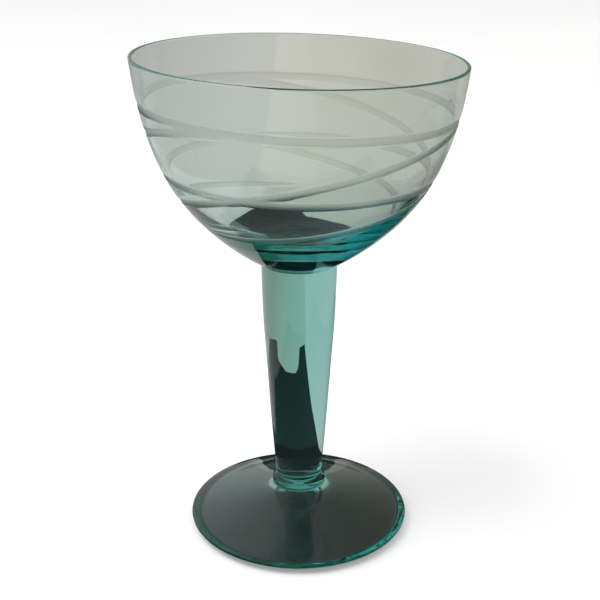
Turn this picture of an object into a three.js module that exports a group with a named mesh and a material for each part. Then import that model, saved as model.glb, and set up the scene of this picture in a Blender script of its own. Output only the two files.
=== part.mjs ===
// Stemmed cocktail glass: a blown bowl, a drawn solid stem, a small collar and a pressed foot.
// Millimetres, +Z up, origin on the table under the middle of the foot.
import * as THREE from 'three';

// Driving dimensions
const RIM_HEIGHT = 169.6;
const RIM_RADIUS = 55;
const RIM_LEAN = 0.0289;          // the rim's slope along X: it is higher on the -X side
const LEAN_START = 101;           // height where the bowl begins to lean
const BOWL_FLOOR = 106.5;         // lowest point inside the bowl
const BOWL_SEAT = 100.05;         // flat underside that meets the stem
const BOWL_SEAT_RADIUS = 13.1;
const WALL = 1.3;                 // wall thickness just under the rim
const STEM_TOP_RADIUS = 13.2;
const STEM_BOTTOM_RADIUS = 8.4;
const COLLAR_TOP = 18.2;
const COLLAR_BOTTOM = 14.4;
const COLLAR_TOP_RADIUS = 8.3;
const COLLAR_BOTTOM_RADIUS = 9.6;
const FOOT_RADIUS = 39.8;
const FOOT_HEIGHT = 14.1;
const FOOT_EDGE = 2.2;            // thickness of the foot at its edge
const FOOT_EDGE_HEIGHT = 2.5;     // height of the middle of the edge
const FOOT_EDGE_ROUND = 1.4;      // how far in the rounding of the edge reaches
const FOOT_HOLLOW = 10;           // height of the hollow under the foot
const REST_INNER = 35.4;          // the foot rests on a flat ring between these radii
const REST_OUTER = 37;
const JOINT_GAP = 0.3;            // clearance left where two pieces are fused face to face
const SEGMENTS = 64;              // steps around every turned piece

const glass = new THREE.MeshStandardMaterial({
  color: 0x9cc7bb,
  roughness: 0.04,
  metalness: 0,
});
const thickGlass = new THREE.MeshStandardMaterial({
  color: 0x5f9f95,
  roughness: 0.04,
  metalness: 0,
});

// Points along a smooth line through a few radius and height pairs.
function curve(pairs, steps) {
  const line = new THREE.SplineCurve(pairs.map(([radius, z]) => new THREE.Vector2(radius, z)));
  return line.getPoints(steps);
}

// Points along a quarter or half of an ellipse in the outline's plane, angles in degrees.
function arc(radius, z, across, up, from, to, steps) {
  const start = THREE.MathUtils.degToRad(from);
  const end = THREE.MathUtils.degToRad(to);
  const line = new THREE.EllipseCurve(radius, z, across, up, start, end, end < start);
  return line.getPoints(steps);
}

// A solid turned about Z from an outline that runs up the outside and ends on the axis.
function turned(name, outline, material) {
  const geometry = new THREE.LatheGeometry(outline, SEGMENTS);
  geometry.rotateX(Math.PI / 2);
  const mesh = new THREE.Mesh(geometry, material);
  mesh.name = name;
  return mesh;
}

// Tips the upper part of the bowl so that its rim slopes along X.
function lean(geometry) {
  const position = geometry.getAttribute('position');
  for (let i = 0; i < position.count; i += 1) {
    const z = position.getZ(i);
    const share = Math.max(0, (z - LEAN_START) / (RIM_HEIGHT - LEAN_START));
    position.setZ(i, z - RIM_LEAN * share * position.getX(i));
  }
}

function bowl() {
  const outside = curve([
    [BOWL_SEAT_RADIUS, BOWL_SEAT],
    [21, 105],
    [29.6, 112],
    [37.3, 120],
    [44.2, 130],
    [49.3, 142],
    [52.9, 155],
    [RIM_RADIUS, RIM_HEIGHT - WALL / 2],
  ], 20);
  const lip = arc(RIM_RADIUS - WALL / 2, RIM_HEIGHT - WALL / 2, WALL / 2, WALL / 2, 0, 180, 4);
  const inside = curve([
    [RIM_RADIUS - WALL, RIM_HEIGHT - WALL / 2],
    [51.5, 155],
    [47.8, 142],
    [42.4, 130.5],
    [34.5, 120.4],
    [25, 112.6],
    [13, 107.8],
    [0, BOWL_FLOOR],
  ], 18);
  const outline = [new THREE.Vector2(0, BOWL_SEAT)].concat(
    outside,
    lip.slice(1, -1),
    inside,
  );
  const mesh = turned('bowl', outline, glass);
  lean(mesh.geometry);
  return mesh;
}

function stem() {
  const bottom = COLLAR_TOP + JOINT_GAP;
  const top = BOWL_SEAT - JOINT_GAP;
  const side = curve([
    [STEM_BOTTOM_RADIUS, bottom],
    [8.7, 24],
    [9.5, 34],
    [10.6, 50],
    [11.6, 65],
    [12.6, 80],
    [STEM_TOP_RADIUS, top],
  ], 14);
  const outline = [new THREE.Vector2(0, bottom)].concat(side, new THREE.Vector2(0, top));
  return turned('stem', outline, thickGlass);
}

function collar() {
  const height = COLLAR_TOP - COLLAR_BOTTOM;
  const bulge = COLLAR_BOTTOM_RADIUS - COLLAR_TOP_RADIUS;
  const side = arc(COLLAR_TOP_RADIUS, COLLAR_BOTTOM, bulge, height, 0, 90, 6);
  const outline = [new THREE.Vector2(0, COLLAR_BOTTOM)].concat(
    side,
    new THREE.Vector2(0, COLLAR_TOP),
  );
  return turned('collar', outline, thickGlass);
}

function foot() {
  const half = FOOT_EDGE / 2;
  const under = curve([
    [0, FOOT_HOLLOW],
    [2, 9.8],
    [6, 8.9],
    [12.5, 7.2],
    [22, 4.3],
    [28, 2.4],
    [REST_INNER, 0],
  ], 12);
  under.push(new THREE.Vector2(REST_OUTER, 0));
  const middle = FOOT_RADIUS - FOOT_EDGE_ROUND;
  const rim = arc(middle, FOOT_EDGE_HEIGHT, FOOT_EDGE_ROUND, half, -90, 70, 8);
  const top = curve([
    [37, 4.3],
    [28, 7.1],
    [19, 10.2],
    [12.5, 12.8],
    [COLLAR_BOTTOM_RADIUS, FOOT_HEIGHT],
  ], 8);
  const outline = under.concat(rim, top, new THREE.Vector2(0, FOOT_HEIGHT));
  return turned('foot', outline, thickGlass);
}

const group = new THREE.Group();
group.add(bowl(), stem(), collar(), foot());

export default group;
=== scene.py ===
"""The looks of a stemmed cocktail glass in pale aqua glass.

The bowl, stem, collar and foot are turned about the glass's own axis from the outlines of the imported
parts. The bowl also carries the lines that are cut into its outside: two nearly level rings, and three
spirals that fall from the upper ring towards the bowl's base.
"""

import logging
import math
from dataclasses import dataclass, field
from enum import Enum
from typing import Iterable

import bmesh
import bpy
from mathutils import Matrix, Vector


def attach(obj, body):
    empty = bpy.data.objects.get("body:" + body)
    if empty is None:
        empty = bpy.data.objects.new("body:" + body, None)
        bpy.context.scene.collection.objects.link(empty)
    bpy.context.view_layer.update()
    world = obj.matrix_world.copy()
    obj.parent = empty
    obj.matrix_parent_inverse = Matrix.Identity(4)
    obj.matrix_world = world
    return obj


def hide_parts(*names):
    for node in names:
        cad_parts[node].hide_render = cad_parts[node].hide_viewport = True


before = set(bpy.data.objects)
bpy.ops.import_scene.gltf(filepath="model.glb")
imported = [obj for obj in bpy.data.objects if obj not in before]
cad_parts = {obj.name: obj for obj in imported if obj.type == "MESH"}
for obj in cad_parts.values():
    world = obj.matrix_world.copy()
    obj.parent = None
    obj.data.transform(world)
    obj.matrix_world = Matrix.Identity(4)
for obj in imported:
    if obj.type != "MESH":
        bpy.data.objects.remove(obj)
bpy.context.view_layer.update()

MM = 0.001
WALL_LAYER = "outer_wall"
JOINT_LAYER = "fused_joint"
NO_BEND = 1.0  # where two pieces are fused, light passes straight from one into the other
FULL_TURN = 2.0 * math.pi
STEPS_AROUND = 288
FAR_FROM_LINES = 99.0
FLAT_WITHIN = 0.0005
SAME_POINT = 1e-4  # outline points closer than this, in millimetres, are one point
SAME_VERTEX = 1e-7  # vertices closer than this, in metres, are merged
JOINT_OVERLAP = 0.05  # how far a fused piece reaches past the middle of its joint
LIGHT_BOUNCES = 64  # light runs a long way inside the wall before it finds its way out

GLASS_SLOT = "aqua_glass"
BOWL_ABSORBS = (46.0, 14.0, 13.5)  # how strongly red, green and blue are taken, per metre
STEM_ABSORBS = (42.0, 12.0, 14.0)

log = logging.getLogger("cocktail_glass")

Pair = tuple[float, float]
Tone = tuple[float, float, float]


class Side(Enum):
    """Which face of a turned wall an outline point belongs to."""

    OUTSIDE = 1.0
    OTHER = 0.0


# ---------------------------------------------------------------------------------------------
# Outlines
# ---------------------------------------------------------------------------------------------


def smooth_line(points: list[Pair], steps: int) -> list[Pair]:
    """Run a smooth line through a few points.

    Args:
        points: Radius and height pairs that the line passes through.
        steps: How many equal stretches the line is divided into.

    Returns:
        The pairs along the line, both ends included.
    """
    spans = len(points) - 1
    line = []
    for step in range(steps + 1):
        place = min(step * spans / steps, spans - 1e-9)
        first = int(place)
        t = place - first
        a = points[max(first - 1, 0)]
        b = points[first]
        c = points[first + 1]
        d = points[min(first + 2, spans)]
        line.append(tuple(through(a[k], b[k], c[k], d[k], t) for k in (0, 1)))
    return line


def through(a: float, b: float, c: float, d: float, t: float) -> float:
    """Blend four neighbouring values into the one at share t between the middle two.

    Args:
        a: Value before the stretch.
        b: Value where the stretch starts.
        c: Value where the stretch ends.
        d: Value after the stretch.
        t: Share of the stretch, from 0 to 1.

    Returns:
        The value on the smooth line.
    """
    slope_in = (c - a) / 2
    slope_out = (d - b) / 2
    cubic = (2 * b - 2 * c + slope_in + slope_out) * t**3
    square = (-3 * b + 3 * c - 2 * slope_in - slope_out) * t**2
    return cubic + square + slope_in * t + b


def arc(centre: Pair, reach: Pair, start: float, end: float, steps: int) -> list[Pair]:
    """Run round part of an ellipse.

    Args:
        centre: Radius and height of the ellipse's centre.
        reach: Its half width and half height.
        start: Angle of the first point in degrees, from the outward direction.
        end: Angle of the last point in degrees.
        steps: How many stretches the arc is divided into.

    Returns:
        The pairs along the arc, both ends included.
    """
    line = []
    for step in range(steps + 1):
        angle = math.radians(start + (end - start) * step / steps)
        line.append(
            (centre[0] + reach[0] * math.cos(angle), centre[1] + reach[1] * math.sin(angle))
        )
    return line


@dataclass
class Outline:
    """The outline of a turned piece, from the axis at its bottom to the axis at its top."""

    points: list[Pair] = field(default_factory=list)
    sides: list[Side] = field(default_factory=list)

    def add(self, points: Iterable[Pair], side: Side = Side.OTHER) -> "Outline":
        """Carry the outline on, leaving out a point that repeats the last one.

        Args:
            points: Radius and height pairs in millimetres.
            side: The face of the wall that they belong to.

        Returns:
            The same outline, so that calls can be chained.
        """
        for point in points:
            if self.points and math.dist(point, self.points[-1]) < SAME_POINT:
                continue
            self.points.append(point)
            self.sides.append(side)
        return self

    def turn(self, wall: str, steps: int = STEPS_AROUND) -> bmesh.types.BMesh:
        """Spin the outline about Z into a closed solid.

        Args:
            wall: Name of the layer that keeps each point's wall face.
            steps: How many steps the full turn is divided into.

        Returns:
            The solid, in metres, with its faces pointing out.
        """
        bm = bmesh.new()
        layer = bm.verts.layers.float.new(wall)
        verts = []
        for (radius, height), side in zip(self.points, self.sides):
            vert = bm.verts.new((radius * MM, 0.0, height * MM))
            vert[layer] = side.value
            verts.append(vert)
        edges = [bm.edges.new(pair) for pair in zip(verts, verts[1:])]
        bmesh.ops.spin(
            bm,
            geom=verts + edges,
            cent=(0, 0, 0),
            axis=(0, 0, 1),
            angle=FULL_TURN,
            steps=steps,
            use_merge=True,
        )
        bmesh.ops.remove_doubles(bm, verts=bm.verts, dist=SAME_VERTEX)
        bmesh.ops.recalc_face_normals(bm, faces=bm.faces)
        return bm


# ---------------------------------------------------------------------------------------------
# Finishes
# ---------------------------------------------------------------------------------------------


@dataclass(frozen=True)
class AquaGlass:
    """Fire-polished glass, nearly clear where it is thin and teal where it is thick."""

    name: str
    absorb_per_m: Tone
    ior: float = 1.5
    density: float = 50.0
    joint_layer: str = JOINT_LAYER

    def material(self) -> bpy.types.Material:
        """Make the glass as a material.

        Returns:
            The new material.
        """
        made = bpy.data.materials.new(self.name)
        made.use_nodes = True
        nodes = made.node_tree.nodes
        links = made.node_tree.links
        shader = nodes["Principled BSDF"]
        shader.inputs["Base Color"].default_value = (1, 1, 1, 1)
        shader.inputs["Roughness"].default_value = 0.0
        shader.inputs["IOR"].default_value = self.ior
        shader.inputs["Transmission Weight"].default_value = 1.0
        joint = nodes.new("ShaderNodeAttribute")
        joint.attribute_name = self.joint_layer
        bend = nodes.new("ShaderNodeMapRange")
        bend.inputs["To Min"].default_value = self.ior
        bend.inputs["To Max"].default_value = NO_BEND
        links.new(joint.outputs["Fac"], bend.inputs["Value"])
        links.new(bend.outputs["Result"], shader.inputs["IOR"])
        depth = nodes.new("ShaderNodeVolumeAbsorption")
        passed = [1 - taken / self.density for taken in self.absorb_per_m]
        depth.inputs["Color"].default_value = (*passed, 1)
        depth.inputs["Density"].default_value = self.density
        links.new(depth.outputs["Volume"], nodes["Material Output"].inputs["Volume"])
        return made


@dataclass(frozen=True)
class SatinCut:
    """The matt finish that the wheel leaves in a cut line."""

    layer: str = "cut_distance"
    half_width: float = 1.3
    soft_edge: float = 0.12
    roughness: float = 0.42
    tint: Tone = (0.86, 0.87, 0.82)
    grain: float = 1800.0
    grain_spread: float = 0.15

    def dress(self, material: bpy.types.Material) -> None:
        """Give a clear glass this finish wherever a cut line runs.

        Args:
            material: The glass, whose mesh carries the distance to the nearest line.
        """
        nodes = material.node_tree.nodes
        links = material.node_tree.links
        shader = nodes["Principled BSDF"]
        distance = nodes.new("ShaderNodeAttribute")
        distance.attribute_name = self.layer
        inside = nodes.new("ShaderNodeMapRange")
        inside.interpolation_type = "SMOOTHSTEP"
        inside.inputs["From Min"].default_value = self.half_width + self.soft_edge
        inside.inputs["From Max"].default_value = self.half_width - self.soft_edge
        links.new(distance.outputs["Fac"], inside.inputs["Value"])
        where = nodes.new("ShaderNodeTexCoord")
        grain = nodes.new("ShaderNodeTexNoise")
        grain.inputs["Scale"].default_value = self.grain
        grain.inputs["Detail"].default_value = 2.0
        links.new(where.outputs["Object"], grain.inputs["Vector"])
        matt = nodes.new("ShaderNodeMapRange")
        matt.inputs["To Min"].default_value = self.roughness * (1 - self.grain_spread)
        matt.inputs["To Max"].default_value = self.roughness * (1 + self.grain_spread)
        links.new(grain.outputs["Fac"], matt.inputs["Value"])
        rough = nodes.new("ShaderNodeMath")
        rough.operation = "MULTIPLY"
        links.new(inside.outputs["Result"], rough.inputs[0])
        links.new(matt.outputs["Result"], rough.inputs[1])
        links.new(rough.outputs["Value"], shader.inputs["Roughness"])
        colour = nodes.new("ShaderNodeMix")
        colour.data_type = "RGBA"
        colour.inputs["A"].default_value = (1, 1, 1, 1)
        colour.inputs["B"].default_value = (*self.tint, 1)
        links.new(inside.outputs["Result"], colour.inputs["Factor"])
        links.new(colour.outputs["Result"], shader.inputs["Base Color"])


# ---------------------------------------------------------------------------------------------
# Pieces
# ---------------------------------------------------------------------------------------------


def finish_piece(
    name: str,
    bm: bmesh.types.BMesh,
    joints: list[float],
    material: bpy.types.Material,
) -> bpy.types.Object:
    """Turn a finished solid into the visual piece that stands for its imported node.

    Args:
        name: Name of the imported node.
        bm: The solid, which is freed here.
        joints: Heights of the flat faces that are fused to its neighbours, in millimetres.
        material: The finish of its surface.

    Returns:
        The piece.
    """
    mesh = bpy.data.meshes.new(f"{name}_surface")
    fused = bm.faces.layers.float.new(JOINT_LAYER)
    bm.normal_update()
    for face in bm.faces:
        face.smooth = True
        heights = [vert.co.z / MM for vert in face.verts]
        for joint in joints:
            if max(abs(height - joint) for height in heights) < FLAT_WITHIN:
                face[fused] = 1.0
    for edge in bm.edges:
        edge.smooth = len({face[fused] for face in edge.link_faces}) == 1
    bm.to_mesh(mesh)
    bm.free()
    piece = bpy.data.objects.new(f"{name}_glass", mesh)
    bpy.context.scene.collection.objects.link(piece)
    mesh.materials.append(material)
    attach(piece, "root")
    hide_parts(name)
    return piece


@dataclass
class CutLines:
    """The lines cut into the bowl: level rings, and spirals that fall from ring to ring."""

    half_width: float
    rings: tuple[Pair, ...] = ((154.1, 1.3), (132.9, 0.6))
    starts: tuple[float, ...] = (125.0, 10.0, -115.0)
    top: float = 154.0
    bottom: float = 116.5
    sweep: float = 280.0
    depth: float = 0.22
    edge: float = 0.5
    ease: float = 0.75
    taper: float = 0.12
    least_upright: float = 0.2

    def fall(self, share: float) -> float:
        """Give a spiral's height after a share of its sweep."""
        eased = share**self.ease
        return self.top - (self.top - self.bottom) * eased * eased * (3 - 2 * eased)

    def distance(self, angle: float, height: float, slant: float) -> float:
        """Measure how far a point on the wall is from the nearest line's middle.

        Args:
            angle: The point's angle about Z, in degrees.
            height: Its height before the bowl leans, in millimetres.
            slant: Length along the wall for each millimetre of height there.

        Returns:
            The distance along the wall in millimetres.
        """
        turn = math.cos(math.radians(angle))
        gaps = [abs(height - level + tilt * turn) * slant for level, tilt in self.rings]
        for start in self.starts:
            share = ((start - angle) % 360.0) / self.sweep
            if share <= 1.0:
                narrow = self.half_width * max(0.0, 1 - (1 - share) / self.taper)
                gaps.append(abs(height - self.fall(share)) * slant + narrow)
        return min(gaps)

    def carve(self, bm: bmesh.types.BMesh, wall: str, layer: str) -> None:
        """Sink the lines into a bowl's outside and note each point's distance to them.

        Args:
            bm: The turned bowl, in metres, before it leans.
            wall: Name of the layer that marks the outside.
            layer: Name of the layer that gets the distances, in millimetres.
        """
        outside = bm.verts.layers.float[wall]
        gap = bm.verts.layers.float.new(layer)
        bm.normal_update()
        cuts = []
        for vert in bm.verts:
            vert[gap] = FAR_FROM_LINES
            if vert[outside] != Side.OUTSIDE.value:
                continue
            upright = max(self.least_upright, math.hypot(vert.normal.x, vert.normal.y))
            angle = math.degrees(math.atan2(vert.co.y, vert.co.x))
            vert[gap] = self.distance(angle, vert.co.z / MM, 1 / upright)
            share = min(1.0, max(0.0, (self.half_width - vert[gap]) / self.edge))
            cuts.append((vert, vert.normal.copy(), share * share * (3 - 2 * share)))
        for vert, outward, share in cuts:
            vert.co -= outward * self.depth * MM * share


@dataclass
class Bowl:
    """The blown cup, with its leaning rim, heavy base and cut lines."""

    rim_height: float = 169.6
    rim_radius: float = 55.0
    wall: float = 1.3
    seat: float = 99.9 - JOINT_OVERLAP
    seat_radius: float = 13.1
    floor: float = 106.5
    lean: float = 0.0289
    lean_start: float = 101.0

    def outline(self) -> Outline:
        """Draw the bowl's outline from its seat up the outside and down the inside.

        Returns:
            The outline.
        """
        lip = self.rim_height - self.wall / 2
        outside = smooth_line(
            [
                (self.seat_radius, self.seat),
                (21, 105),
                (29.6, 112),
                (37.3, 120),
                (44.2, 130),
                (49.3, 142),
                (52.9, 155),
                (self.rim_radius, lip),
            ],
            200,
        )
        inside = smooth_line(
            [
                (self.rim_radius - self.wall, lip),
                (51.5, 155),
                (47.8, 142),
                (42.4, 130.5),
                (34.5, 120.4),
                (25, 112.6),
                (13, 107.8),
                (0, self.floor),
            ],
            60,
        )
        half = self.wall / 2
        drawn = Outline()
        drawn.add([(0, self.seat)])
        drawn.add(outside, Side.OUTSIDE)
        drawn.add(arc((self.rim_radius - half, lip), (half, half), 0, 180, 10))
        drawn.add(inside)
        return drawn

    def build(
        self, material: bpy.types.Material, slot: str, cut: SatinCut
    ) -> bpy.types.Object:
        """Make the bowl, cut its lines and lean its rim.

        Args:
            material: The glass.
            slot: The record's material slot; not used.
            cut: The finish of its cut lines.

        Returns:
            The piece.
        """
        bm = self.outline().turn(WALL_LAYER)
        CutLines(half_width=cut.half_width).carve(bm, WALL_LAYER, cut.layer)
        for vert in bm.verts:
            height = vert.co.z / MM
            share = max(0.0, (height - self.lean_start) / (self.rim_height - self.lean_start))
            vert.co.z -= self.lean * share * vert.co.x
        return finish_piece("bowl", bm, [self.seat], material)


@dataclass
class Stem:
    """The drawn solid rod, widest under the bowl."""

    bottom: float = 18.35 - JOINT_OVERLAP
    top: float = 99.9 + JOINT_OVERLAP
    bottom_radius: float = 8.4
    top_radius: float = 13.2

    def side(self) -> list[Pair]:
        """Draw the stem's side from its foot to its head.

        Returns:
            Radius and height pairs in millimetres.
        """
        return smooth_line(
            [
                (self.bottom_radius, self.bottom),
                (8.7, 24),
                (9.5, 34),
                (10.6, 50),
                (11.6, 65),
                (12.6, 80),
                (self.top_radius, self.top),
            ],
            60,
        )

    def build(self, material: bpy.types.Material, slot: str) -> bpy.types.Object:
        """Make the stem.

        Args:
            material: The glass.
            slot: The record's material slot; not used.

        Returns:
            The piece.
        """
        drawn = Outline().add([(0, self.bottom)]).add(self.side()).add([(0, self.top)])
        joints = [self.bottom, self.top]
        return finish_piece("stem", drawn.turn(WALL_LAYER), joints, material)


@dataclass
class Collar:
    """The small pad of glass between the stem and the foot."""

    bottom: float = 14.25 - JOINT_OVERLAP
    top: float = 18.35 + JOINT_OVERLAP
    bottom_radius: float = 9.6
    top_radius: float = 8.35

    def side(self) -> list[Pair]:
        """Draw the collar's rounded side.

        Returns:
            Radius and height pairs in millimetres.
        """
        return smooth_line(
            [(self.bottom_radius, self.bottom), (9.65, 15.2), (9.2, 16.8), (self.top_radius, self.top)],
            16,
        )

    def build(self, material: bpy.types.Material, slot: str) -> bpy.types.Object:
        """Make the collar.

        Args:
            material: The glass.
            slot: The record's material slot; not used.

        Returns:
            The piece.
        """
        drawn = Outline().add([(0, self.bottom)]).add(self.side()).add([(0, self.top)])
        joints = [self.bottom, self.top]
        return finish_piece("collar", drawn.turn(WALL_LAYER), joints, material)


@dataclass
class Foot:
    """The round foot, a shallow cone with a rounded edge and a hollow under it."""

    radius: float = 39.8
    height: float = 14.25 + JOINT_OVERLAP
    edge: float = 2.2
    edge_height: float = 2.5
    edge_round: float = 1.4
    hollow: float = 10.0
    rest_inner: float = 35.4
    rest_outer: float = 37.0
    boss_radius: float = 9.6

    def under(self) -> list[Pair]:
        """Draw the hollow underside out to the ring that the glass rests on.

        Returns:
            Radius and height pairs in millimetres.
        """
        return smooth_line(
            [
                (0, self.hollow),
                (2, 9.8),
                (6, 8.9),
                (12.5, 7.2),
                (22, 4.3),
                (28, 2.4),
                (self.rest_inner, 0),
            ],
            36,
        )

    def rim(self) -> list[Pair]:
        """Draw the rounded edge.

        Returns:
            Radius and height pairs in millimetres.
        """
        middle = (self.radius - self.edge_round, self.edge_height)
        edge = arc(middle, (self.edge_round, self.edge / 2), -90, 70, 28)
        return [(self.rest_outer, 0.0)] + edge

    def crown(self) -> list[Pair]:
        """Draw the sloping top from the edge up to the collar.

        Returns:
            Radius and height pairs in millimetres.
        """
        return smooth_line(
            [(37, 4.3), (28, 7.1), (19, 10.2), (12.5, 12.8), (self.boss_radius, self.height)],
            40,
        )

    def build(self, material: bpy.types.Material, slot: str) -> bpy.types.Object:
        """Make the foot.

        Args:
            material: The glass.
            slot: The record's material slot; not used.

        Returns:
            The piece.
        """
        drawn = Outline().add(self.under()).add(self.rim()).add(self.crown())
        drawn.add([(0, self.height)])
        joints = [self.height]
        return finish_piece("foot", drawn.turn(WALL_LAYER), joints, material)


# ---------------------------------------------------------------------------------------------
# Studio
# ---------------------------------------------------------------------------------------------


@dataclass(frozen=True)
class Card:
    """A glowing card on the floor, whose tone changes from its left to its right."""

    name: str
    corners: tuple[Pair, ...]
    height: float
    tones: tuple[tuple[float, Tone], ...]
    reach: float = 0.25

    def material(self) -> bpy.types.Material:
        """Make the card's glow.

        Returns:
            The new material.
        """
        made = bpy.data.materials.new(self.name)
        made.use_nodes = True
        nodes = made.node_tree.nodes
        links = made.node_tree.links
        nodes.remove(nodes["Principled BSDF"])
        where = nodes.new("ShaderNodeTexCoord")
        split = nodes.new("ShaderNodeSeparateXYZ")
        links.new(where.outputs["Object"], split.inputs["Vector"])
        across = nodes.new("ShaderNodeMapRange")
        across.inputs["From Min"].default_value = -self.reach
        across.inputs["From Max"].default_value = self.reach
        links.new(split.outputs["X"], across.inputs["Value"])
        ramp = nodes.new("ShaderNodeValToRGB")
        stops = ramp.color_ramp.elements
        while len(stops) < len(self.tones):
            stops.new(0.5)
        for stop, (x, tone) in zip(stops, self.tones):
            stop.position = 0.5 + 0.5 * x / self.reach
            stop.color = (*tone, 1)
        links.new(across.outputs["Result"], ramp.inputs["Fac"])
        glow = nodes.new("ShaderNodeEmission")
        links.new(ramp.outputs["Color"], glow.inputs["Color"])
        links.new(glow.outputs[0], nodes["Material Output"].inputs["Surface"])
        return made


@dataclass
class Studio:
    """The pale floor, the soft lights and the camera."""

    camera_back: float = 0.3677
    camera_height: float = 0.2288
    look_down: float = 21.284
    roll: float = 0.15
    camera_right: float = 0.0003
    lens: float = 67.74
    floor_drop: float = 0.0006
    floor_reach: float = 4.0
    floor_tone: float = 0.92
    floor_roughness: float = 0.9
    room_light: float = 1.0
    bright_until: float = -0.8
    dull_from: float = 0.5
    bright_side: Tone = (0.80, 0.82, 0.82)
    dull_side: Tone = (0.24, 0.24, 0.20)
    far_table: tuple[Pair, ...] = ((-4.0, -4.0), (4.0, -4.0), (4.0, 4.0), (-4.0, 4.0))
    far_tones: tuple[tuple[float, Tone], ...] = (
        (-0.24, (0.47, 0.46, 0.45)),
        (-0.07, (0.57, 0.56, 0.53)),
        (-0.035, (0.57, 0.56, 0.52)),
        (-0.03, (0.63, 0.62, 0.56)),
        (0.012, (0.60, 0.585, 0.52)),
        (0.016, (0.57, 0.555, 0.485)),
        (0.12, (0.505, 0.485, 0.415)),
    )
    near_table: tuple[Pair, ...] = ((-4.0, -4.0), (4.0, -4.0), (4.0, 0.36), (-4.0, 0.36))
    near_tones: tuple[tuple[float, Tone], ...] = (
        (-0.15, (0.66, 0.64, 0.61)),
        (-0.028, (0.66, 0.65, 0.62)),
        (-0.024, (0.53, 0.54, 0.47)),
        (0.06, (0.47, 0.47, 0.40)),
        (0.15, (0.36, 0.34, 0.30)),
    )
    dark_tones: tuple[tuple[float, Tone], ...] = (
        (-0.1, (0.022, 0.026, 0.026)),
        (0.1, (0.010, 0.014, 0.013)),
    )
    dark_table: tuple[Pair, ...] = (
        (-0.11, 0.02),
        (-0.11, -0.15),
        (0.17, -0.15),
        (0.17, 0.165),
        (0.122, 0.190),
        (0.102, 0.196),
        (0.097, 0.186),
        (0.088, 0.168),
        (0.045, 0.159),
        (0.010, 0.162),
        (0.002, 0.172),
        (-0.002, 0.205),
        (-0.022, 0.210),
        (-0.035, 0.11),
        (-0.045, 0.055),
        (-0.055, 0.03),
    )

    def camera(self) -> bpy.types.Object:
        """Set the camera a little above the rim, looking down along +Y.

        Returns:
            The camera.
        """
        data = bpy.data.cameras.new("camera")
        data.lens = self.lens
        data.sensor_width = 36.0
        camera = bpy.data.objects.new("camera", data)
        pitch = Matrix.Rotation(math.radians(90 - self.look_down), 4, "X")
        roll = Matrix.Rotation(math.radians(self.roll), 4, "Z")
        place = Matrix.Translation((self.camera_right, -self.camera_back, self.camera_height))
        camera.matrix_world = place @ pitch @ roll
        bpy.context.scene.collection.objects.link(camera)
        bpy.context.scene.camera = camera
        return camera

    def floor(self) -> bpy.types.Object:
        """Lay the pale floor that the camera sees.

        Returns:
            The floor.
        """
        bm = bmesh.new()
        bmesh.ops.create_grid(bm, x_segments=1, y_segments=1, size=self.floor_reach)
        bmesh.ops.translate(bm, verts=bm.verts, vec=(0, 0, -self.floor_drop))
        mesh = bpy.data.meshes.new("floor")
        bm.to_mesh(mesh)
        bm.free()
        floor = bpy.data.objects.new("floor", mesh)
        bpy.context.scene.collection.objects.link(floor)
        made = bpy.data.materials.new("floor")
        made.use_nodes = True
        shader = made.node_tree.nodes["Principled BSDF"]
        shader.inputs["Base Color"].default_value = (*(self.floor_tone,) * 3, 1)
        shader.inputs["Roughness"].default_value = self.floor_roughness
        mesh.materials.append(made)
        return floor

    def card(self, card: Card) -> bpy.types.Object:
        """Lay a flat card that only the glass sees, which gives it depth on the pale floor.

        Args:
            card: The card's shape and tones.

        Returns:
            The card.
        """
        bm = bmesh.new()
        bm.faces.new([bm.verts.new((x, y, card.height)) for x, y in card.corners])
        mesh = bpy.data.meshes.new(card.name)
        bm.to_mesh(mesh)
        bm.free()
        laid = bpy.data.objects.new(card.name, mesh)
        bpy.context.scene.collection.objects.link(laid)
        mesh.materials.append(card.material())
        laid.visible_camera = False
        laid.visible_diffuse = False
        laid.visible_shadow = False
        return laid

    def light(self, name: str, place: Vector, aim: Vector, size: float, power: float) -> None:
        """Hang one square soft box.

        Args:
            name: Name of the light.
            place: Where it hangs, in metres.
            aim: The point that it faces.
            size: Length of its side in metres.
            power: Its power in watts.
        """
        data = bpy.data.lights.new(name, "AREA")
        data.size = size
        data.energy = power
        lamp = bpy.data.objects.new(name, data)
        lamp.visible_glossy = False
        lamp.visible_transmission = False
        lamp.location = place
        lamp.rotation_euler = (aim - place).to_track_quat("-Z", "Y").to_euler()
        bpy.context.scene.collection.objects.link(lamp)

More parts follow.
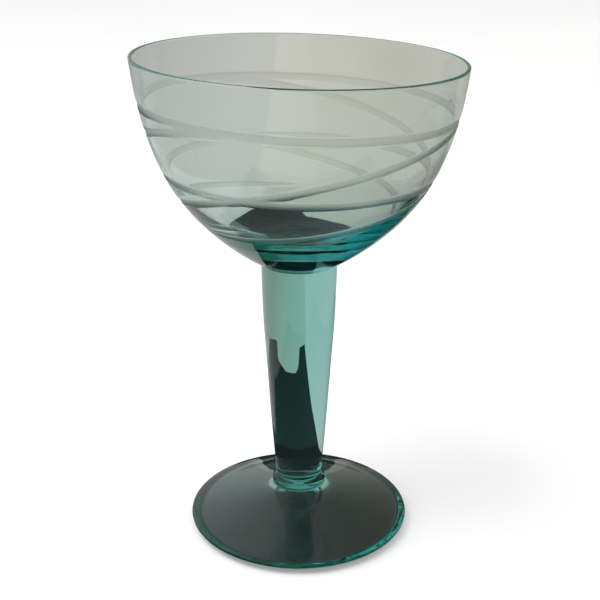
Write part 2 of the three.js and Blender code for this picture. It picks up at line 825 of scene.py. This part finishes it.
    def room(self) -> None:
        """Fill the room with even pale light, and give the glass a bright and a dull side to mirror."""
        world = bpy.data.worlds.new("room")
        world.use_nodes = True
        nodes = world.node_tree.nodes
        links = world.node_tree.links
        even = nodes["Background"]
        even.inputs["Color"].default_value = (1, 1, 1, 1)
        even.inputs["Strength"].default_value = self.room_light
        way = nodes.new("ShaderNodeTexCoord")
        split = nodes.new("ShaderNodeSeparateXYZ")
        links.new(way.outputs["Generated"], split.inputs["Vector"])
        across = nodes.new("ShaderNodeMapRange")
        across.interpolation_type = "SMOOTHSTEP"
        across.inputs["From Min"].default_value = self.bright_until
        across.inputs["From Max"].default_value = self.dull_from
        links.new(split.outputs["X"], across.inputs["Value"])
        tone = nodes.new("ShaderNodeMix")
        tone.data_type = "RGBA"
        tone.inputs["A"].default_value = (*self.bright_side, 1)
        tone.inputs["B"].default_value = (*self.dull_side, 1)
        links.new(across.outputs["Result"], tone.inputs["Factor"])
        sides = nodes.new("ShaderNodeBackground")
        links.new(tone.outputs["Result"], sides.inputs["Color"])
        ray = nodes.new("ShaderNodeLightPath")
        plain = nodes.new("ShaderNodeMath")
        plain.operation = "MAXIMUM"
        links.new(ray.outputs["Is Camera Ray"], plain.inputs[0])
        links.new(ray.outputs["Is Diffuse Ray"], plain.inputs[1])
        chosen = nodes.new("ShaderNodeMixShader")
        links.new(plain.outputs["Value"], chosen.inputs["Fac"])
        links.new(sides.outputs["Background"], chosen.inputs[1])
        links.new(even.outputs["Background"], chosen.inputs[2])
        links.new(chosen.outputs["Shader"], nodes["World Output"].inputs["Surface"])
        bpy.context.scene.world = world

    def build(self) -> None:
        """Set up the whole studio."""
        self.camera()
        self.floor()
        step = self.floor_drop / 4
        self.card(Card("far_card", self.far_table, -3 * step, self.far_tones))
        self.card(Card("near_card", self.near_table, -2 * step, self.near_tones))
        self.card(Card("dark_card", self.dark_table, -step, self.dark_tones))
        self.room()
        self.light("top_box", Vector((-0.5, -0.2, 1.2)), Vector((0, 0, 0.1)), 0.8, 8)
        scene = bpy.context.scene
        scene.view_settings.view_transform = "Standard"
        scene.cycles.max_bounces = LIGHT_BOUNCES
        scene.cycles.glossy_bounces = LIGHT_BOUNCES
        scene.cycles.transmission_bounces = LIGHT_BOUNCES


def main() -> None:
    """Build the studio and the glass, piece by piece."""
    logging.basicConfig(level=logging.INFO, format="%(message)s")
    Studio().build()
    cut = SatinCut()
    bowl_glass = AquaGlass("bowl_glass", BOWL_ABSORBS).material()
    cut.dress(bowl_glass)
    stem_glass = AquaGlass("stem_glass", STEM_ABSORBS).material()
    pieces = [Bowl().build(bowl_glass, GLASS_SLOT, cut)]
    pieces += [maker.build(stem_glass, GLASS_SLOT) for maker in (Stem(), Collar(), Foot())]
    for piece in pieces:
        log.info("%s: %d faces", piece.name, len(piece.data.polygons))


if __name__ == "__main__":
    main()
